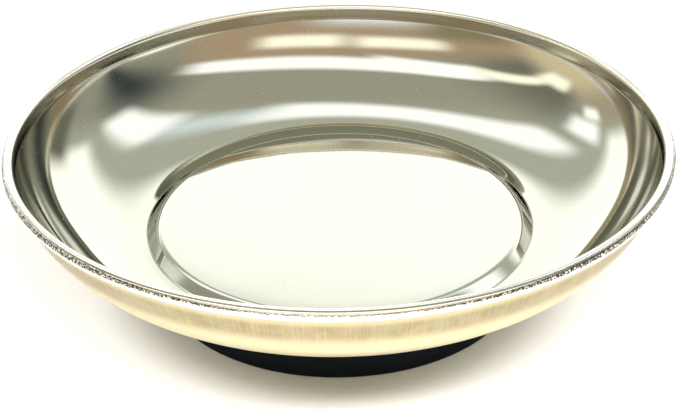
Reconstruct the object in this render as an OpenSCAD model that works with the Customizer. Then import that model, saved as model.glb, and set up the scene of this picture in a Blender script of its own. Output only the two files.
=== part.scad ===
// Round magnetic parts tray: a pressed stainless dish that stands on a ring magnet in a rubber boot.
// Sizes are in millimetres. The tray stands on z = 0 and is round about the Z axis.

/* [Dish] */
// Diameter over the rim
dish_d = 150; // [130:1:200]
// Height of the rim's top above the table
dish_h = 38.5; // [30:0.1:50]
// Thickness of the pressed sheet
sheet_t = 0.5; // [0.4:0.05:0.8]
// Width of the flat ring of floor between the seat's foot and the wall
floor_w = 1.1; // [0.2:0.1:5]
// Inside radius of the crease where the wall turns upright
crease_r = 2.5; // [1:0.1:4]
// Least height of the upright collar between the crease and the bead's upper turn
collar_h = 2.2; // [1.9:0.05:5]

/* [Rolled rim] */
// Width of the rolled bead over the sheet
bead_w = 2.5; // [2.5:0.1:4]
// Straight length between the bead's upper and lower turn
bead_leg_h = 0.3; // [0.1:0.1:1]
// Gap between the tucked edge and the collar
edge_gap = 0.3; // [0.1:0.05:0.4]

/* [Raised seat over the magnet] */
// Height of the seat above the floor
seat_h = 1.75; // [1.2:0.05:3]
// Slope of the seat's side, in degrees
seat_slope = 33; // [25:1:40]
// Radius of the seat's shoulder on the inside face
shoulder_r = 2.4; // [1.5:0.1:3]
// Radius of the seat's foot on the inside face
foot_r = 1; // [0.5:0.1:1.5]

/* [Ring magnet] */
// Outer diameter of the magnet
magnet_d = 80; // [60:1:96]
// Diameter of the magnet's bore
magnet_bore_d = 40; // [36:1:50]
// Thickness of the magnet
magnet_h = 10; // [8:0.5:14]
// Chamfer on the magnet's edges
magnet_chamfer = 0.6; // [0.2:0.1:1]

/* [Backing plate and pad] */
// Thickness of the steel backing plate
plate_h = 3; // [2:0.1:5]
// Thickness of the foam pad between plate and dish
pad_h = 0.8; // [0.5:0.1:1.5]

/* [Rubber boot] */
// Thickness of the boot's side wall
boot_wall = 1.4; // [1:0.1:3]
// Thickness of the boot's floor
boot_floor = 2.5; // [1.5:0.1:4]
// Radius of the boot's rounded outer edges
boot_edge_r = 0.5; // [0.3:0.1:1.3]
// How far the boot's lip reaches in over the plate
lip_w = 2.2; // [1:0.1:4]
// Room around the washer in the screw's recess
recess_room = 1.5; // [0.5:0.1:4]
// Thickness of the rubber around and above the recess
recess_wall = 2; // [1.2:0.1:3]

/* [Fastener] */
// Nominal diameter of the screw
screw_d = 5; // [4:0.5:6]
// Diameter of the pan head
head_d = 9.5; // [8:0.1:12]
// Height of the pan head
head_h = 3.6; // [2.5:0.1:4]
// Rounding of the pan head
head_round = 1.8; // [0.5:0.1:2.2]
// How far the head lies above the table
head_sink = 1.2; // [0.8:0.1:2]
// Diameter of the washer
washer_d = 15; // [12:0.5:17]
// Thickness of the washer
washer_h = 1.2; // [0.8:0.1:1.6]
// Width of the weld nut across its flats
nut_flats = 8; // [8:0.5:11]

/* [Hidden] */
$fn = 128;

// Clearance all round between pieces that slide into each other
fit = 0.1;
// Room around the weld nut in the plate and the pad
nut_room = 1;
// Gap that keeps the weld nut off the hub, so that the screw pulls on the plate
nut_gap = 0.3;
// Gap between the screw's tip and the dish
tip_gap = 1;
// Chamfer on the screw's tip and in the nut's bore
thread_chamfer = 0.6;
// Cross recess in the screw head: length over the cross, width of a slot and depth
drive_len = 4.8;
drive_w = 1;
drive_deep = 2;
// Share of the boot's rounded edge that lies under the seat's shoulder
seat_cover_share = 0.8;
// How far a cutting shape runs past the face that it cuts
overrun = 0.2;
// Angle between neighbouring points of a rounded outline
arc_step = 6;

// Heights of the stack, from the table up
magnet_z = boot_floor;
plate_z = magnet_z + magnet_h;
pad_z = plate_z + plate_h;
seat_under_z = pad_z + pad_h;
seat_z = seat_under_z + sheet_t;
floor_z = seat_z - seat_h;
washer_z = head_sink + head_h;
recess_z = washer_z + washer_h;
hub_web_z = recess_z + recess_wall;

// Radii of the magnet base
magnet_r = magnet_d / 2;
bore_r = magnet_bore_d / 2;
boot_in_r = magnet_r + fit;
boot_r = boot_in_r + boot_wall;
lip_r = boot_in_r - lip_w;
washer_r = washer_d / 2;
recess_r = washer_r + recess_room;
recess_out_r = recess_r + recess_wall;
screw_r = screw_d / 2;
screw_hole_r = screw_r + fit;
nut_corner_r = nut_flats / 2 / cos(30);
nut_hole_r = nut_corner_r + nut_room;

// The seat's side is a cone between two arcs, and its shoulder begins over the boot's rounded edge
seat_r = boot_r - seat_cover_share * boot_edge_r;
bends_r = shoulder_r + foot_r;
cone_h = seat_h - bends_r * (1 - cos(seat_slope));
foot_end_r = seat_r + bends_r * sin(seat_slope) + cone_h / tan(seat_slope);

// The rim: the collar stands upright, rolls outwards over the top and tucks its cut edge under
rim_r = dish_d / 2;
bead_r = bead_w / 2;
bead_mid_r = rim_r - bead_r;
collar_r = rim_r - bead_w;
curl_z = dish_h - bead_r;
tuck_z = curl_z - bead_leg_h;
edge_r = collar_r + sheet_t + edge_gap;

// The wall is one arc that leaves the floor level and meets the crease on a common tangent.
// On a steep dish it turns fully upright lower down, and the collar is longer.
wall_start_r = foot_end_r + floor_w;
wall_reach = collar_r - crease_r - wall_start_r;
wall_rise = min(curl_z - collar_h - floor_z, wall_reach + crease_r);
wall_r = (wall_reach * wall_reach + wall_rise * wall_rise - crease_r * crease_r)
    / (2 * (wall_rise - crease_r));
crease_z = floor_z + wall_rise;
wall_end = asin((wall_rise - wall_r) / (wall_r - crease_r));

// Points of an arc about a centre, from one angle to another
function arc(centre, r, from, to) =
    let (steps = max(2, ceil(abs(to - from) / arc_step)))
    [for (i = [0 : steps])
        let (a = from + (to - from) * i / steps)
        [centre[0] + r * cos(a), centre[1] + r * sin(a)]];

function reversed(points) = [for (i = [len(points) - 1 : -1 : 0]) points[i]];

// One face of the pressed sheet, from the axis out to the cut edge.
// Depth 0 is the face that the bowl shows inside, and depth sheet_t is the face below it.
function sheet_face(depth) = concat(
    [[0, seat_z - depth]],
    arc([seat_r, seat_z - shoulder_r], shoulder_r - depth, 90, 90 - seat_slope),
    arc([foot_end_r, floor_z + foot_r], foot_r + depth, 270 - seat_slope, 270),
    arc([wall_start_r, floor_z + wall_r], wall_r + depth, 270, 360 + wall_end),
    arc([collar_r - crease_r, crease_z], crease_r + depth, 360 + wall_end, 360),
    arc([bead_mid_r, curl_z], bead_r - depth, 180, 0),
    arc([bead_mid_r, tuck_z], bead_r - depth, 0, -90),
    [[edge_r, tuck_z - bead_r + depth]]
);

// A ring between two radii that stands on a height
module ring(outer_r, inner_r, z, h) {
    translate([0, 0, z])
        difference() {
            cylinder(r = outer_r, h = h);
            translate([0, 0, -overrun])
                cylinder(r = inner_r, h = h + 2 * overrun);
        }
}

// Pressed dish: one sheet with the seat, the bowl's wall and the rolled rim
module dish() {
    color("gainsboro")
        rotate_extrude()
            polygon(concat(sheet_face(0), reversed(sheet_face(sheet_t))));
}

// Hexagon nut welded under the middle of the dish
module weld_nut() {
    nut_h = plate_h + pad_h - nut_gap;
    nut_z = seat_under_z - nut_h;
    color("silver")
        difference() {
            translate([0, 0, nut_z])
                cylinder(r = nut_corner_r, h = nut_h, $fn = 6);
            translate([0, 0, nut_z - overrun])
                cylinder(r = screw_hole_r, h = nut_h + 2 * overrun);
            translate([0, 0, nut_z])
                cylinder(r1 = screw_hole_r + thread_chamfer, r2 = screw_hole_r, h = thread_chamfer);
        }
}

// Foam pad that beds the backing plate against the dish, inside the boot's lip
module foam_pad() {
    color("dimgray")
        ring(lip_r - fit, nut_hole_r, pad_z, pad_h);
}

// Steel disc that the screw pulls against the dish, with a hole that clears the weld nut
module backing_plate() {
    color("darkgray")
        ring(magnet_r, nut_hole_r, plate_z, plate_h);
}

// Ferrite ring with chamfered edges
module ring_magnet() {
    color("darkslategray")
        rotate_extrude()
            polygon([
                [bore_r + magnet_chamfer, magnet_z],
                [magnet_r - magnet_chamfer, magnet_z],
                [magnet_r, magnet_z + magnet_chamfer],
                [magnet_r, plate_z - magnet_chamfer],
                [magnet_r - magnet_chamfer, plate_z],
                [bore_r + magnet_chamfer, plate_z],
                [bore_r, plate_z - magnet_chamfer],
                [bore_r, magnet_z + magnet_chamfer]
            ]);
}

// Plastic hub that centres the magnet on the screw and carries the screw's pull to the plate
module magnet_hub() {
    color("whitesmoke")
        rotate_extrude()
            polygon([
                [screw_hole_r, hub_web_z],
                [recess_out_r + fit, hub_web_z],
                [recess_out_r + fit, magnet_z],
                [bore_r - fit, magnet_z],
                [bore_r - fit, plate_z],
                [screw_hole_r, plate_z]
            ]);
}

// Rubber cup round the magnet, with a lip over the plate and a recess for the screw head
module rubber_boot() {
    color([0.06, 0.07, 0.09])
        rotate_extrude()
            polygon(concat(
                [[screw_hole_r, recess_z], [recess_r, recess_z], [recess_r, 0]],
                arc([boot_r - boot_edge_r, boot_edge_r], boot_edge_r, -90, 0),
                arc([boot_r - boot_edge_r, seat_under_z - boot_edge_r], boot_edge_r, 0, 90),
                [
                    [lip_r, seat_under_z],
                    [lip_r, pad_z],
                    [boot_in_r, pad_z],
                    [boot_in_r, magnet_z],
                    [recess_out_r, magnet_z],
                    [recess_out_r, hub_web_z],
                    [screw_hole_r, hub_web_z]
                ]
            ));
}

// Flat washer between the screw head and the rubber
module washer() {
    color("silver")
        ring(washer_r, screw_hole_r, washer_z, washer_h);
}

// Pan-head screw with a cross recess, driven from below into the weld nut
module centre_screw() {
    head_r = head_d / 2;
    tip_z = seat_under_z - tip_gap;
    color("silver")
        difference() {
            rotate_extrude()
                polygon(concat(
                    [[0, head_sink]],
                    arc([head_r - head_round, head_sink + head_round], head_round, -90, 0),
                    [
                        [head_r, washer_z],
                        [screw_r, washer_z],
                        [screw_r, tip_z - thread_chamfer],
                        [screw_r - thread_chamfer, tip_z],
                        [0, tip_z]
                    ]
                ));
            for (turn = [0, 90])
                rotate([0, 0, turn])
                    translate([-drive_len / 2, -drive_w / 2, head_sink - overrun])
                        cube([drive_len, drive_w, drive_deep + overrun]);
        }
}

dish();
weld_nut();
foam_pad();
backing_plate();
ring_magnet();
magnet_hub();
rubber_boot();
washer();
centre_screw();
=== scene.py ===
"""Looks of a magnetic parts tray: a polished pressed dish on a rubber-booted ring magnet."""
from collections import namedtuple
import math

import bpy
from mathutils import Matrix, Vector


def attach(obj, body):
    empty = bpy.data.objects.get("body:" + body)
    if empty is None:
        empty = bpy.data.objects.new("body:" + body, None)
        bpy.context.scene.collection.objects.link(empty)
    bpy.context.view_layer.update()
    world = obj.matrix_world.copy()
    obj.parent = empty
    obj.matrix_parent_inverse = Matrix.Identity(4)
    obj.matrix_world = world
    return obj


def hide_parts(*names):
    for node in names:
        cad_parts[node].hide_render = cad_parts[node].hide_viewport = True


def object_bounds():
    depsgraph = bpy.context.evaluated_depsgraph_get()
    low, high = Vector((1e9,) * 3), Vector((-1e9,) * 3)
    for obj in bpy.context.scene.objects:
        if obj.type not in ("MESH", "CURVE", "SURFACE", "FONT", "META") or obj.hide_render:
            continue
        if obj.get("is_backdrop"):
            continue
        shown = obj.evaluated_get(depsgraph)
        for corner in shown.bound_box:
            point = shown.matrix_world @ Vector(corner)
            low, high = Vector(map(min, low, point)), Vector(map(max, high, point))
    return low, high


MM = 0.001

# Overall sizes and the pressed sheet, as in the CAD model, in millimetres
DISH_D = 150
DISH_H = 38.5
SHEET_T = 0.5
FLOOR_W = 1.1
CREASE_R = 2.5
COLLAR_H = 2.2

# Rolled bead at the rim
BEAD_D = 2.5
BEAD_LEG_H = 0.3
EDGE_GAP = 0.3

# Raised seat over the magnet
SEAT_Z = 16.8
SEAT_H = 1.75
SEAT_R = 41.1
SEAT_SLOPE = 33
SHOULDER_R = 2.4
FOOT_R = 1

# Fineness of the turned mesh: steps round it, rings on the seat, and degrees for each step of an arc
STEPS_ROUND = 300
FLAT_RINGS = 10
BEND_STEP = 3
WALL_STEP = 1
BEAD_STEP = 6

# Degrees from which an edge stays sharp, and millimetres within which two points are one
SHARP_ANGLE = 40
SAME_POINT = 1e-6

# Material slots of the dish
INSIDE, RIM, OUTSIDE = range(3)

# Camera fitted to the rim, the base and the raised middle
IMAGE_W = 679
SENSOR_W = 36
FOCAL_PX = 1742.27
CAMERA_AT = (0, -0.350, 0.21647)
CAMERA_TILT = 29.36
CAMERA_ROLL = -1.03
CLIP_START = 0.01


# Outline of the dish

def arc(centre, radius, start, end, step):
    """Points on an arc in the plane of radius and height, in degrees, both ends included."""
    count = max(2, math.ceil(abs(end - start) / step))
    angles = [math.radians(start + (end - start) * i / count) for i in range(count + 1)]
    return [(centre[0] + radius * math.cos(a), centre[1] + radius * math.sin(a)) for a in angles]


def sheet_faces():
    """The sheet's inner and outer face from the axis to the tucked edge, as lists of points."""
    floor_z = SEAT_Z - SEAT_H
    slope = math.radians(SEAT_SLOPE)
    bends_r = SHOULDER_R + FOOT_R
    cone_h = SEAT_H - bends_r * (1 - math.cos(slope))
    foot_end_r = SEAT_R + bends_r * math.sin(slope) + cone_h / math.tan(slope)
    rim_r = DISH_D / 2
    bead_r = BEAD_D / 2
    collar_r = rim_r - BEAD_D
    curl_z = DISH_H - bead_r
    tuck_z = curl_z - BEAD_LEG_H
    edge_r = collar_r + SHEET_T + EDGE_GAP
    wall_start_r = foot_end_r + FLOOR_W
    reach = collar_r - CREASE_R - wall_start_r
    rise = min(curl_z - COLLAR_H - floor_z, reach + CREASE_R)
    wall_r = (reach ** 2 + rise ** 2 - CREASE_R ** 2) / (2 * (rise - CREASE_R))
    wall_end = 360 + math.degrees(math.asin((rise - wall_r) / (wall_r - CREASE_R)))

    def face(depth):
        flat = [(SEAT_R * i / FLAT_RINGS, SEAT_Z - depth) for i in range(FLAT_RINGS)]
        return (
            flat
            + arc((SEAT_R, SEAT_Z - SHOULDER_R), SHOULDER_R - depth, 90, 90 - SEAT_SLOPE, BEND_STEP)
            + arc((foot_end_r, floor_z + FOOT_R), FOOT_R + depth, 270 - SEAT_SLOPE, 270, BEND_STEP)
            + arc((wall_start_r, floor_z + wall_r), wall_r + depth, 270, wall_end, WALL_STEP)
            + arc((collar_r - CREASE_R, floor_z + rise), CREASE_R + depth, wall_end, 360, BEND_STEP)
            + arc((rim_r - bead_r, curl_z), bead_r - depth, 180, 0, BEAD_STEP)
            + arc((rim_r - bead_r, tuck_z), bead_r - depth, 0, -90, BEAD_STEP)
            + [(edge_r, tuck_z - bead_r + depth)]
        )

    return drop_repeats(face(0)), drop_repeats(face(SHEET_T))


def drop_repeats(points):
    """The points without those that repeat the one before."""
    kept = points[:1]
    for point in points[1:]:
        if math.dist(point, kept[-1]) > SAME_POINT:
            kept.append(point)
    return kept


# Mesh

def lathe(name, outline, part_of):
    """A closed mesh turned about Z, from an outline that starts and ends on the axis.

    part_of gives the material slot of the faces that start at a point of the outline.
    """
    inner = outline[1:-1]
    size = len(inner)
    verts = [(0, 0, outline[0][1] * MM), (0, 0, outline[-1][1] * MM)]
    start_point, end_point = range(2)
    first = len(verts)
    for j in range(STEPS_ROUND):
        turn = 2 * math.pi * j / STEPS_ROUND
        verts += [(r * math.cos(turn) * MM, r * math.sin(turn) * MM, z * MM) for r, z in inner]
    faces, parts = [], []
    for j in range(STEPS_ROUND):
        here = first + j * size
        there = first + (j + 1) % STEPS_ROUND * size
        faces.append((start_point, here, there))
        parts.append(part_of(0))
        for i in range(size - 1):
            faces.append((here + i, here + i + 1, there + i + 1, there + i))
            parts.append(part_of(i + 1))
        faces.append((end_point, there + size - 1, here + size - 1))
        parts.append(part_of(size))
    mesh = bpy.data.meshes.new(name)
    mesh.from_pydata(verts, [], faces)
    mesh.polygons.foreach_set("material_index", parts)
    mesh.shade_smooth()
    mesh.set_sharp_from_angle(angle=math.radians(SHARP_ANGLE))
    return add_object(name, mesh)


def add_object(name, data):
    """An object in the scene that holds a mesh, a lamp or a lens."""
    made = bpy.data.objects.new(name, data)
    bpy.context.scene.collection.objects.link(made)
    return made


# Node helpers

def new_material(name):
    """An empty node material, its tree and its Principled shader."""
    material = bpy.data.materials.new(name)
    material.use_nodes = True
    tree = material.node_tree
    return material, tree, tree.nodes["Principled BSDF"]


def new_metal(name):
    """An empty metal and its tree."""
    material, tree, shader = new_material(name)
    shader.inputs["Metallic"].default_value = 1
    return material, tree


def node(tree, kind, inputs=None, **settings):
    """A node with its settings, and its inputs set to values or linked from sockets."""
    made = tree.nodes.new(kind)
    for key, value in settings.items():
        setattr(made, key, value)
    for key, value in (inputs or {}).items():
        if isinstance(value, bpy.types.NodeSocket):
            tree.links.new(value, made.inputs[key])
        else:
            made.inputs[key].default_value = value
    return made


def math_node(tree, operation, a, b=0.0):
    """The result of one sum."""
    return node(tree, "ShaderNodeMath", {0: a, 1: b}, operation=operation).outputs[0]


def plus(tree, first, *others):
    """The sum of values."""
    total = first
    for other in others:
        total = math_node(tree, "ADD", total, other)
    return total


def minus(tree, a, b):
    """One value less another."""
    return math_node(tree, "SUBTRACT", a, b)


def times(tree, a, b):
    """The product of two values."""
    return math_node(tree, "MULTIPLY", a, b)


def larger(tree, a, b):
    """The larger of two values."""
    return math_node(tree, "MAXIMUM", a, b)


def vector_node(tree, operation, output, inputs):
    """The result of one step of vector arithmetic."""
    return node(tree, "ShaderNodeVectorMath", inputs, operation=operation).outputs[output]


def remap(tree, value, source, target=(0, 1)):
    """A value taken smoothly from one range to another."""
    inputs = {
        "Value": value,
        "From Min": source[0],
        "From Max": source[1],
        "To Min": target[0],
        "To Max": target[1],
    }
    return node(tree, "ShaderNodeMapRange", inputs, interpolation_type="SMOOTHSTEP").outputs["Result"]


def window(tree, value, half, edge):
    """One where a value is within half of zero, with a soft edge."""
    size = math_node(tree, "ABSOLUTE", value)
    return remap(tree, size, (half + edge / 2, half - edge / 2))


def metres(sizes):
    """Sizes in metres that are given in millimetres."""
    return tuple(size * MM for size in sizes)


def band(tree, length, middle, half, edge):
    """One where a length in metres is within half of a middle, both in millimetres."""
    return window(tree, minus(tree, length, middle * MM), half * MM, edge * MM)


def mix_colour(tree, factor, a, b):
    """One colour mixed into another."""
    made = node(tree, "ShaderNodeMix", {"Factor": factor}, data_type="RGBA")
    for socket, value in (("A_Color", a), ("B_Color", b)):
        target = next(s for s in made.inputs if s.identifier == socket)
        if isinstance(value, bpy.types.NodeSocket):
            tree.links.new(value, target)
        else:
            target.default_value = (*value, 1)
    return next(s for s in made.outputs if s.identifier == "Result_Color")


def position(tree):
    """The point on the piece, in metres, in the piece's own frame."""
    return node(tree, "ShaderNodeTexCoord").outputs["Object"]


def split(tree, vector):
    """The three parts of a vector."""
    return node(tree, "ShaderNodeSeparateXYZ", {"Vector": vector}).outputs


def level_part(tree, x, y):
    """The level part of a vector."""
    return node(tree, "ShaderNodeCombineXYZ", {"X": x, "Y": y}).outputs[0]


def radius_and_height(tree):
    """Distance from the Z axis and height above the table, in metres."""
    x, y, z = split(tree, position(tree))
    return vector_node(tree, "LENGTH", "Value", {0: level_part(tree, x, y)}), z


def round_coordinates(tree, around, outward=0, upward=0):
    """Coordinates that follow a turned piece: direction about Z, distance from Z, and height."""
    x, y, z = split(tree, position(tree))
    flat = level_part(tree, x, y)
    radius = vector_node(tree, "LENGTH", "Value", {0: flat})
    unit = vector_node(tree, "NORMALIZE", "Vector", {0: flat})
    turned = vector_node(tree, "SCALE", "Vector", {0: unit, "Scale": around})
    depth = plus(tree, times(tree, radius, outward), times(tree, z, upward))
    lift = node(tree, "ShaderNodeCombineXYZ", {"Z": depth}).outputs[0]
    return vector_node(tree, "ADD", "Vector", {0: turned, 1: lift})


def noise(tree, vector, scale=1, detail=3, roughness=0.5):
    """Smooth noise from 0 to 1."""
    inputs = {"Vector": vector, "Scale": scale, "Detail": detail, "Roughness": roughness}
    return node(tree, "ShaderNodeTexNoise", inputs).outputs["Fac"]


def cells(tree, scale):
    """Distance to the middle of the nearest of many cells."""
    inputs = {"Vector": position(tree), "Scale": scale}
    return node(tree, "ShaderNodeTexVoronoi", inputs).outputs["Distance"]


def bump(tree, height, strength, distance):
    """A bumped normal."""
    inputs = {"Height": height, "Strength": strength, "Distance": distance}
    return node(tree, "ShaderNodeBump", inputs).outputs["Normal"]


def link(tree, **sockets):
    """Links sockets into the Principled shader's inputs, with underscores for spaces."""
    shader = tree.nodes["Principled BSDF"]
    for key, socket in sockets.items():
        tree.links.new(socket, shader.inputs[key.replace("_", " ")])


def seen_share(tree):
    """One for camera, mirrored and transmitted rays, and zero for rays that only bring light."""
    path = node(tree, "ShaderNodeLightPath").outputs
    bounced = larger(tree, path["Is Glossy Ray"], path["Is Transmission Ray"])
    return larger(tree, path["Is Camera Ray"], bounced)


# Materials

# Range that most of a noise lies in
NOISE_SPAN = (0.3, 0.7)

# Polished steel inside the bowl: tones, and grain and wipe marks as ranges of their noise
INSIDE_TONES = ((0.615, 0.61, 0.54), (0.595, 0.585, 0.52))
GRAIN_TONE = (0.42, 0.415, 0.36)
GRAIN_RANGE = (0.35, 0.65)
GRAIN_MOST = 0.2
WIPE_RANGE = (0.35, 0.7)

# Darker ring of the bowl's floor, in the corner round the seat: middle, half width and soft edge
CORNER_R = 47.8
CORNER_HALF = 3.2
CORNER_EDGE = 2.4
CORNER_TONE = (0.565, 0.57, 0.485)

# Seat's side: middle, half width and soft edge of the ring that is less polished
SEAT_SIDE_R = 43.0
SEAT_SIDE_HALF = 2.2
SEAT_SIDE_EDGE = 1.0

# Radii between which the bowl's wall turns a little dull, and heights between which its collar does
DULL_R = (66.0, 71.0)
DULL_Z = (35.4, 36.4)

# Roughness inside: of the polish, and what the seat's side, the wall, the collar and dust add to it
INSIDE_ROUGH = (0.02, 0.035)
SEAT_SIDE_ROUGH = 0.02
WALL_ROUGH = 0.07
COLLAR_ROUGH = 0.12
DUST_ROUGH = 0.6

# Dust in the bowl: tone, specks in a metre, size of a speck, and the noise that thins them out
DUST_TONE = (0.95, 0.95, 0.9)
DUST_SCALE = 450
DUST_SIZE = 0.055
DUST_RANGE = (0.5, 0.6)

# Scuffs on the bead, widening into painted shade at the dish's sides: height, least radius, how far the
# line sways, and its least and greatest half width
SCUFF_AND_SHADE_Z = 37.6
SCUFF_AND_SHADE_R = 74.0
SCUFF_AND_SHADE_SWAY = 0.15
SCUFF_AND_SHADE_HALF = (0.08, 0.52)

# Distances from the middle plane between which the line widens into painted shade, and the noise that
# breaks the scuffs up
SCUFF_SHADE_SPREAD_X = (8.0, 62.0)
FLECK_RANGE = (0.38, 0.52)

# Fine painted shade line round the bead's outer top: height, half width, and strength by the ripple's
# noise
SHADE_LINE_Z = 38.29
SHADE_LINE_HALF = 0.05
SHADE_LINE_RANGE = (0.35, 0.6)
SHADE_LINE_SHARE = (0.35, 0.85)

# Tones and roughness of the bead, with one dark tone for its scuffs and painted shade lines
RIM_TONES = ((0.95, 0.94, 0.88), (0.86, 0.84, 0.74))
RIM_ROUGH = (0.07, 0.18)
SCUFF_AND_SHADE_TONE = (0.09, 0.075, 0.045)
SCUFF_AND_SHADE_ROUGH = 0.35

# Satin steel outside: tones of the wall, its painted pale reflection and its drawing marks, and its
# roughness
SATIN_TONES = ((0.51, 0.425, 0.255), (0.42, 0.335, 0.185))
PAINTED_REFLECTION_TONE = (0.83, 0.735, 0.46)
MARK_TONE = (0.86, 0.75, 0.49)
MARK_RANGE = (0.4, 0.75)
MARK_MOST = 0.3
SATIN_ROUGH = (0.28, 0.42)

# Heights between which the outer wall turns pale with painted reflection, down to its foot and up to the
# bead
FOOT_REFLECTION_Z = (31.0, 26.5)
NECK_REFLECTION_Z = (33.0, 35.0)
NECK_REFLECTION_MOST = 0.8

# Rubber: tones, dust as a range of its noise, roughness and shine
RUBBER_TONES = ((0.002, 0.006, 0.009), (0.006, 0.011, 0.015))
RUBBER_DUST_RANGE = (0.5, 0.8)
RUBBER_DUST_MOST = 0.5
RUBBER_ROUGH = (0.55, 0.75)
RUBBER_SHINE = 0.15

# Tones and roughness of the pieces inside
PLATED_TONES = ((0.56, 0.57, 0.59), (0.68, 0.69, 0.71))
PLATED_ROUGH = (0.22, 0.4)
FERRITE_TONES = ((0.045, 0.045, 0.05), (0.09, 0.09, 0.095))
FERRITE_ROUGH = (0.5, 0.7)
FOAM_TONES = ((0.05, 0.05, 0.05), (0.12, 0.12, 0.12))
FOAM_RANGE = (0, 0.7)
FOAM_ROUGH = (0.95, 0.8)
HUB_TONES = ((0.76, 0.75, 0.71), (0.82, 0.81, 0.77))
HUB_ROUGH = (0.45, 0.6)


def dust_specks(tree):
    """Sparse round specks, one where there is one."""
    dot = math_node(tree, "LESS_THAN", cells(tree, DUST_SCALE), DUST_SIZE)
    return times(tree, dot, remap(tree, noise(tree, position(tree), scale=40, detail=2), DUST_RANGE))


def polished_inside():
    """Bright drawn steel, darker in the corner round the seat, with a faint grain, wipe marks and dust."""
    material, tree = new_metal("polished_steel")
    wipe = noise(tree, position(tree), scale=35, detail=4)
    grain = noise(tree, position(tree), scale=2200, detail=2)
    wave = noise(tree, position(tree), scale=55, detail=1)
    radius, height = radius_and_height(tree)
    corner = band(tree, radius, CORNER_R, CORNER_HALF, CORNER_EDGE)
    seat_side = band(tree, radius, SEAT_SIDE_R, SEAT_SIDE_HALF, SEAT_SIDE_EDGE)
    dust = dust_specks(tree)
    steel = mix_colour(tree, wipe, *INSIDE_TONES)
    steel = mix_colour(tree, remap(tree, grain, GRAIN_RANGE, (0, GRAIN_MOST)), steel, GRAIN_TONE)
    steel = mix_colour(tree, corner, steel, CORNER_TONE)
    rough = plus(
        tree,
        remap(tree, wipe, WIPE_RANGE, INSIDE_ROUGH),
        times(tree, seat_side, SEAT_SIDE_ROUGH),
        remap(tree, radius, metres(DULL_R), (0, WALL_ROUGH)),
        remap(tree, height, metres(DULL_Z), (0, COLLAR_ROUGH)),
        times(tree, dust, DUST_ROUGH),
    )
    link(tree,
         Base_Color=mix_colour(tree, dust, steel, DUST_TONE),
         Roughness=rough,
         Normal=bump(tree, wave, strength=0.25, distance=0.0001))
    return material


def scuff_and_shade_line(tree, height):
    """A swaying, broken line of scuffs that widens towards the sides of the dish into painted shade on the
    bead's outline.
    """
    ragged = noise(tree, round_coordinates(tree, around=110), detail=4, roughness=0.7)
    flecks = noise(tree, round_coordinates(tree, around=170, upward=2600), roughness=0.6)
    across = math_node(tree, "ABSOLUTE", split(tree, position(tree))["X"])
    sway = remap(tree, ragged, NOISE_SPAN, metres((-SCUFF_AND_SHADE_SWAY, SCUFF_AND_SHADE_SWAY)))
    middle = plus(tree, sway, SCUFF_AND_SHADE_Z * MM)
    off = math_node(tree, "ABSOLUTE", minus(tree, height, middle))
    # painted shade: the line widens towards the dish's sides, darkening the bead's outline there
    half = remap(tree, across, metres(SCUFF_SHADE_SPREAD_X), metres(SCUFF_AND_SHADE_HALF))
    within = math_node(tree, "LESS_THAN", off, half)
    return times(tree, within, remap(tree, flecks, FLECK_RANGE))


def rolled_rim():
    """The same steel at the bead, with scuffs that widen into painted shade at the sides, and a fine
    painted shade line round its outer part.
    """
    material, tree = new_metal("rim_steel")
    around = round_coordinates(tree, around=130, outward=300, upward=300)
    ripple = noise(tree, around, detail=5, roughness=0.65)
    radius, height = radius_and_height(tree)
    # painted shade: a fine dark line round the bead's outer top
    line = times(tree, band(tree, height, SHADE_LINE_Z, SHADE_LINE_HALF, SHADE_LINE_HALF),
                 remap(tree, ripple, SHADE_LINE_RANGE, SHADE_LINE_SHARE))
    outer = math_node(tree, "GREATER_THAN", radius, SCUFF_AND_SHADE_R * MM)
    # one dark tone for the scuffs and the painted shade lines
    scuff_and_shade = times(tree, outer, larger(tree, scuff_and_shade_line(tree, height), line))
    steel = mix_colour(tree, ripple, *RIM_TONES)
    rough = plus(tree, remap(tree, ripple, NOISE_SPAN, RIM_ROUGH), times(tree, scuff_and_shade, SCUFF_AND_SHADE_ROUGH))
    link(tree,
         Base_Color=mix_colour(tree, scuff_and_shade, steel, SCUFF_AND_SHADE_TONE),
         Roughness=rough,
         Normal=bump(tree, ripple, strength=0.5, distance=0.0001))
    return material


def satin_outside():
    """The same sheet outside: satin and warm, with drawing marks, and a painted pale reflection at its
    foot and under the bead.
    """
    material, tree = new_metal("satin_steel")
    marks = noise(tree, round_coordinates(tree, around=150, upward=60), detail=4, roughness=0.55)
    clouds = round_coordinates(tree, around=14, outward=160, upward=160)
    cloud = noise(tree, clouds, detail=4, roughness=0.6)
    _, height = radius_and_height(tree)
    # painted reflection: paler towards the foot and under the bead
    foot = remap(tree, height, metres(FOOT_REFLECTION_Z))
    neck = remap(tree, height, metres(NECK_REFLECTION_Z), (0, NECK_REFLECTION_MOST))
    steel = mix_colour(tree, remap(tree, cloud, NOISE_SPAN), *SATIN_TONES)
    steel = mix_colour(tree, larger(tree, foot, neck), steel, PAINTED_REFLECTION_TONE)
    steel = mix_colour(tree, remap(tree, marks, MARK_RANGE, (0, MARK_MOST)), steel, MARK_TONE)
    link(tree,
         Base_Color=steel,
         Roughness=remap(tree, marks, NOISE_SPAN, SATIN_ROUGH),
         Normal=bump(tree, marks, strength=0.25, distance=0.0001))
    return material


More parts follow.
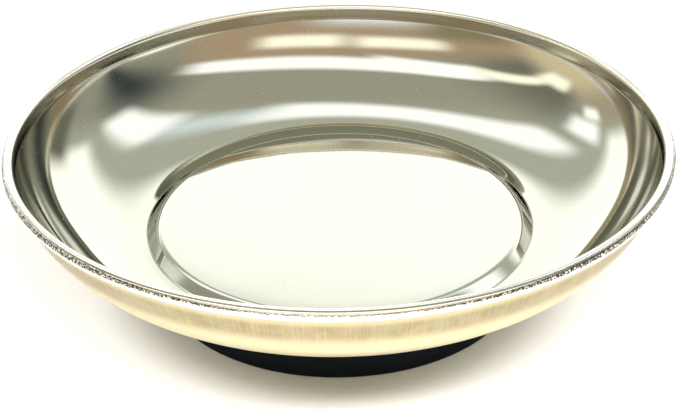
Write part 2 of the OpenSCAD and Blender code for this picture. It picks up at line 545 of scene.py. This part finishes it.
def boot_rubber():
    """Near-black matte rubber with a fine moulded grain and a little dust."""
    material, tree, shader = new_material("boot_rubber")
    shader.inputs["Specular IOR Level"].default_value = RUBBER_SHINE
    grain = noise(tree, position(tree), scale=2500, roughness=0.6)
    dust = noise(tree, position(tree), scale=90, detail=4, roughness=0.6)
    dusty = remap(tree, dust, RUBBER_DUST_RANGE, (0, RUBBER_DUST_MOST))
    link(tree,
         Base_Color=mix_colour(tree, dusty, *RUBBER_TONES),
         Roughness=remap(tree, dust, NOISE_SPAN, RUBBER_ROUGH),
         Normal=bump(tree, grain, strength=0.2, distance=0.00005))
    return material


def dress(tree, grain, tones, rough, spread=NOISE_SPAN):
    """Gives a material its tones and its roughness from one grain."""
    link(tree,
         Base_Color=mix_colour(tree, grain, *tones),
         Roughness=remap(tree, grain, spread, rough))


def plated_steel():
    """Zinc-plated steel with a faint crystalline mottle."""
    material, tree = new_metal("plated_steel")
    mottle = noise(tree, position(tree), scale=600)
    dress(tree, mottle, PLATED_TONES, PLATED_ROUGH)
    link(tree, Normal=bump(tree, mottle, strength=0.1, distance=0.00005))
    return material


def ferrite():
    """Dark sintered ceramic with a fine pitted face."""
    material, tree, _ = new_material("ferrite")
    pits = noise(tree, position(tree), scale=1500, detail=4, roughness=0.7)
    dress(tree, pits, FERRITE_TONES, FERRITE_ROUGH)
    link(tree, Normal=bump(tree, pits, strength=0.3, distance=0.0001))
    return material


def foam():
    """Charcoal closed-cell foam."""
    material, tree, _ = new_material("foam")
    pores = cells(tree, scale=1800)
    dress(tree, pores, FOAM_TONES, FOAM_ROUGH, FOAM_RANGE)
    link(tree, Normal=bump(tree, pores, strength=0.5, distance=0.0002))
    return material


def hub_plastic():
    """Off-white moulded plastic with a slight eggshell face."""
    material, tree, _ = new_material("hub_plastic")
    eggshell = noise(tree, position(tree), scale=900, detail=2)
    dress(tree, eggshell, HUB_TONES, HUB_ROUGH)
    link(tree, Normal=bump(tree, eggshell, strength=0.15, distance=0.00005))
    return material


# Pieces

def make_dish():
    """The pressed dish: polished inside, scuffed at the bead with painted shade lines, satin outside with
    a painted reflection.
    """
    inner, outer = sheet_faces()
    bead_start = next(i for i, p in enumerate(inner) if p[1] > DISH_H - BEAD_D / 2)

    def part_of(index):
        if index < bead_start:
            return INSIDE
        return RIM if index < len(inner) else OUTSIDE

    dish = lathe("dish_sheet", inner + outer[::-1], part_of)
    for material in (polished_inside(), rolled_rim(), satin_outside()):
        dish.data.materials.append(material)
    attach(dish, "root")
    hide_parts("dish")


def paint(name, material):
    """Gives a CAD node its material."""
    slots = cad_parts[name].data.materials
    slots.clear()
    slots.append(material)


def paint_base():
    """Materials of the pieces under the dish."""
    plated = plated_steel()
    for name in ("weld_nut", "backing_plate", "washer", "centre_screw"):
        paint(name, plated)
    paint("foam_pad", foam())
    paint("ring_magnet", ferrite())
    paint("magnet_hub", hub_plastic())
    paint("rubber_boot", boot_rubber())


# Stage

FLOOR_HALF = 4.0
FLOOR_COLOUR = (0.90, 0.90, 0.89)

# White that the floor adds to its own colour: under the bowl, in the open and far off.
# The smaller lift under the bowl is a painted shadow round the tray's foot. Radii are in metres from the
# tray's axis.
UNDER_LIFT = 0.05
OPEN_LIFT = 0.40
PAINTED_SHADOW_EDGE_R = (0.044, 0.059)
FAR_LIFT = 0.6
FAR_R = (0.4, 0.9)

# Soft lamps, in degrees, metres and watts, and the room's share of the light on matte surfaces
Lamp = namedtuple("Lamp", "name angle side size power")
LAMPS = (
    Lamp("key", 124, 4, (2.4, 0.4), 36),
    Lamp("side_left", 90, -55, (0.9, 0.9), 12),
    Lamp("side_right", 90, 55, (0.9, 0.9), 15),
)
LAMP_DISTANCE = 2.0
ROOM_FILL = 0.08

# Tones of the room, from straight ahead over the ceiling to the wall behind, and at the right
AHEAD = (0.66, 0.69, 0.59)
CEILING = (0.525, 0.52, 0.42)
BEHIND = (0.645, 0.49, 0.33)
RIGHT = (0.46, 0.46, 0.38)

# Degrees over which one of these tones turns into the next
CEILING_FROM = (50, 88)
BEHIND_FROM = (122, 136)
RIGHT_FROM = (44, 64)

# Pale ring along the horizon, by the Z and Y of a direction: its top, its soft edge and where it ends
HORIZON = (1.0, 1.0, 0.96)
HORIZON_TOP = 0.07
HORIZON_EDGE = 0.02
HORIZON_END = (-0.8, -0.68)

# Tones of the room's panels
LEFT = (1.00, 0.86, 0.56)
SHADE_LEFT = (0.27, 0.27, 0.22)
SHADE_RIGHT = (0.065, 0.085, 0.09)
SHADE_TAN = (0.40, 0.34, 0.21)
LOW_LEFT = (0.60, 0.54, 0.39)
LOW_RIGHT = (0.22, 0.225, 0.18)
BACKDROP = (1.80, 1.84, 1.78)
LAMP_WHITE = (1.80, 1.82, 1.86)
LAMP_CREAM = (1.84, 1.79, 1.52)
LAMP_BLUE = (1.05, 1.20, 1.25)
LAMP_LOW = (1.35, 1.45, 1.50)

# Soft panels of the room, in degrees. Angle runs from ahead over the top, and side from left to right.
# Slope and bend lean and curve a panel from side to side.
PANEL_PARTS = "colour angle side height width angle_edge side_edge slope bend"
Panel = namedtuple("Panel", PANEL_PARTS, defaults=(0, 0))
PANELS = (
    Panel(SHADE_RIGHT, 93, 72, 52, 46, 50, 36),
    Panel(LOW_LEFT, 20, -66, 62, 26, 30, 10),
    Panel(SHADE_LEFT, 93, -64, 74, 44, 30, 38),
    Panel(SHADE_TAN, 163, -47, 24, 32, 18, 18),
    Panel(LEFT, 90, -90, 260, 39, 10, 16),
    Panel(BACKDROP, 13, -1.5, 43, 95, 10, 9, 0.16),
    Panel(LOW_RIGHT, 0, 54, 50, 26, 12, 12),
    Panel(LAMP_BLUE, 66, 17, 13, 36, 14, 10),
    Panel(LAMP_WHITE, 60.5, -13, 18, 42, 10, 10, 0.34),
    Panel(LAMP_WHITE, 65.5, 39.5, 21, 26, 12, 10),
    Panel(LAMP_WHITE, 45, -48, 20, 11, 10, 7),
    Panel(LAMP_WHITE, 40, -58, 14, 6, 8, 5),
    Panel(LAMP_WHITE, 123.3, 4, 13, 88, 6, 16, 0.14, -0.0036),
    Panel(LAMP_WHITE, 117, -28, 15, 32, 6, 10, 0.38),
    Panel(LAMP_CREAM, 101.5, -55, 12, 26, 9, 12, 0.9),
    Panel(LAMP_CREAM, 82, -69.5, 33, 9, 12, 6, 0.7),
    Panel(LAMP_CREAM, 144, -22, 11, 31, 7, 12, 0.06),
    Panel(LAMP_CREAM, 147, 12, 12, 29, 7, 12, 0.05),
    Panel(LAMP_LOW, 173, -12, 17, 36, 18, 24),
    Panel(LAMP_CREAM, 168, 62, 16, 40, 4, 8, -0.65),
)


def floor_white():
    """A matte white that lifts to pure white away from the tray, and keeps the tray's shadow; a smaller
    lift under the bowl paints a darker shadow ring round the tray's foot.
    """
    material, tree, shader = new_material("floor_white")
    shader.inputs["Base Color"].default_value = (*FLOOR_COLOUR, 1)
    shader.inputs["Roughness"].default_value = 1
    shader.inputs["Specular IOR Level"].default_value = 0
    shader.inputs["Emission Color"].default_value = (1, 1, 1, 1)
    radius, _ = radius_and_height(tree)
    # painted shadow: the lift drops under the bowl, darkening a ring round the tray's foot
    lift = plus(tree, remap(tree, radius, PAINTED_SHADOW_EDGE_R, (UNDER_LIFT, OPEN_LIFT)),
                remap(tree, radius, FAR_R, (0, FAR_LIFT)))
    link(tree, Emission_Strength=times(tree, seen_share(tree), lift))
    return material


def make_floor():
    """A plain pale floor."""
    mesh = bpy.data.meshes.new("floor")
    signs = ((-1, -1), (1, -1), (1, 1), (-1, 1))
    mesh.from_pydata([(x * FLOOR_HALF, y * FLOOR_HALF, 0) for x, y in signs], [], [(0, 1, 2, 3)])
    floor = add_object("floor", mesh)
    floor.data.materials.append(floor_white())
    floor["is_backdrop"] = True


def make_lamp(lamp):
    """A soft lamp that lights the floor and the rubber. The steel mirrors the room's panels instead."""
    light = bpy.data.lights.new(lamp.name, "AREA")
    light.shape = "RECTANGLE"
    light.size, light.size_y = lamp.size
    light.energy = lamp.power
    holder = add_object(lamp.name, light)
    lift = math.radians(lamp.angle)
    turn = math.radians(lamp.side)
    ahead = math.cos(lift) * math.cos(turn)
    up = math.sin(lift) * math.cos(turn)
    holder.location = Vector((math.sin(turn), ahead, up)) * LAMP_DISTANCE
    holder.rotation_euler = holder.location.to_track_quat("Z", "Y").to_euler()
    holder.visible_camera = False
    holder.visible_glossy = False


def share_of(tree, angle, side, panel):
    """How far a direction lies in a soft panel, from 0 to 1."""
    across = minus(tree, side, panel.side)
    lean = plus(tree, times(tree, across, panel.bend), panel.slope)
    middle = plus(tree, times(tree, across, lean), panel.angle)
    up = minus(tree, angle, middle)
    return times(tree, window(tree, up, panel.height / 2, panel.angle_edge),
                 window(tree, across, panel.width / 2, panel.side_edge))


def room_tone(tree):
    """A pale room: white ahead and along the horizon, grey above, tan behind, with soft panels."""
    towards = node(tree, "ShaderNodeTexCoord").outputs["Generated"]
    x, y, z = split(tree, towards)
    angle = math_node(tree, "DEGREES", math_node(tree, "ARCTAN2", z, y))
    side = math_node(tree, "DEGREES", math_node(tree, "ARCSINE", x))
    tone = mix_colour(tree, remap(tree, angle, CEILING_FROM), AHEAD, CEILING)
    tone = mix_colour(tree, remap(tree, angle, BEHIND_FROM), tone, BEHIND)
    tone = mix_colour(tree, remap(tree, side, RIGHT_FROM), tone, RIGHT)
    for panel in PANELS:
        tone = mix_colour(tree, share_of(tree, angle, side, panel), tone, panel.colour)
    low = remap(tree, z, (HORIZON_TOP + HORIZON_EDGE, HORIZON_TOP))
    ring = times(tree, low, remap(tree, y, HORIZON_END))
    return mix_colour(tree, ring, tone, HORIZON)


def light_room():
    """Puts the room round the tray. Matte surfaces get only a share of its light."""
    world = bpy.data.worlds.new("room")
    bpy.context.scene.world = world
    world.use_nodes = True
    tree = world.node_tree
    strength = plus(tree, times(tree, seen_share(tree), 1 - ROOM_FILL), ROOM_FILL)
    background = tree.nodes["Background"]
    tree.links.new(room_tone(tree), background.inputs["Color"])
    tree.links.new(strength, background.inputs["Strength"])


def make_camera():
    """The camera at the photograph's place."""
    lens = bpy.data.cameras.new("camera")
    lens.sensor_fit = "HORIZONTAL"
    lens.sensor_width = SENSOR_W
    lens.lens = FOCAL_PX * SENSOR_W / IMAGE_W
    lens.clip_start = CLIP_START
    camera = add_object("camera", lens)
    tilt = Matrix.Rotation(math.radians(90 - CAMERA_TILT), 4, "X")
    roll = Matrix.Rotation(math.radians(CAMERA_ROLL), 4, "Z")
    camera.matrix_world = Matrix.Translation(CAMERA_AT) @ tilt @ roll
    bpy.context.scene.camera = camera


def write_sizes():
    """Works out the CAD model's box and the visual model's box."""
    boxes = {"cad": cad_box, "visual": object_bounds()}
    plain = {name: [list(low), list(high)] for name, (low, high) in boxes.items()}


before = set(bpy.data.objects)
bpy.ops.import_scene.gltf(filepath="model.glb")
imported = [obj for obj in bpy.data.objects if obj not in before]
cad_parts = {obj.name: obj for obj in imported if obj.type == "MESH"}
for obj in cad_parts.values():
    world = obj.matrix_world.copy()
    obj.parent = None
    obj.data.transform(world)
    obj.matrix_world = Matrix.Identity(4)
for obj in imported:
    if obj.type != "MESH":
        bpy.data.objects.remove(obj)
cad_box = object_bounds()
make_camera()
make_dish()
paint_base()
make_floor()
for lamp in LAMPS:
    make_lamp(lamp)
light_room()
bpy.context.scene.view_settings.view_transform = "Standard"
write_sizes()
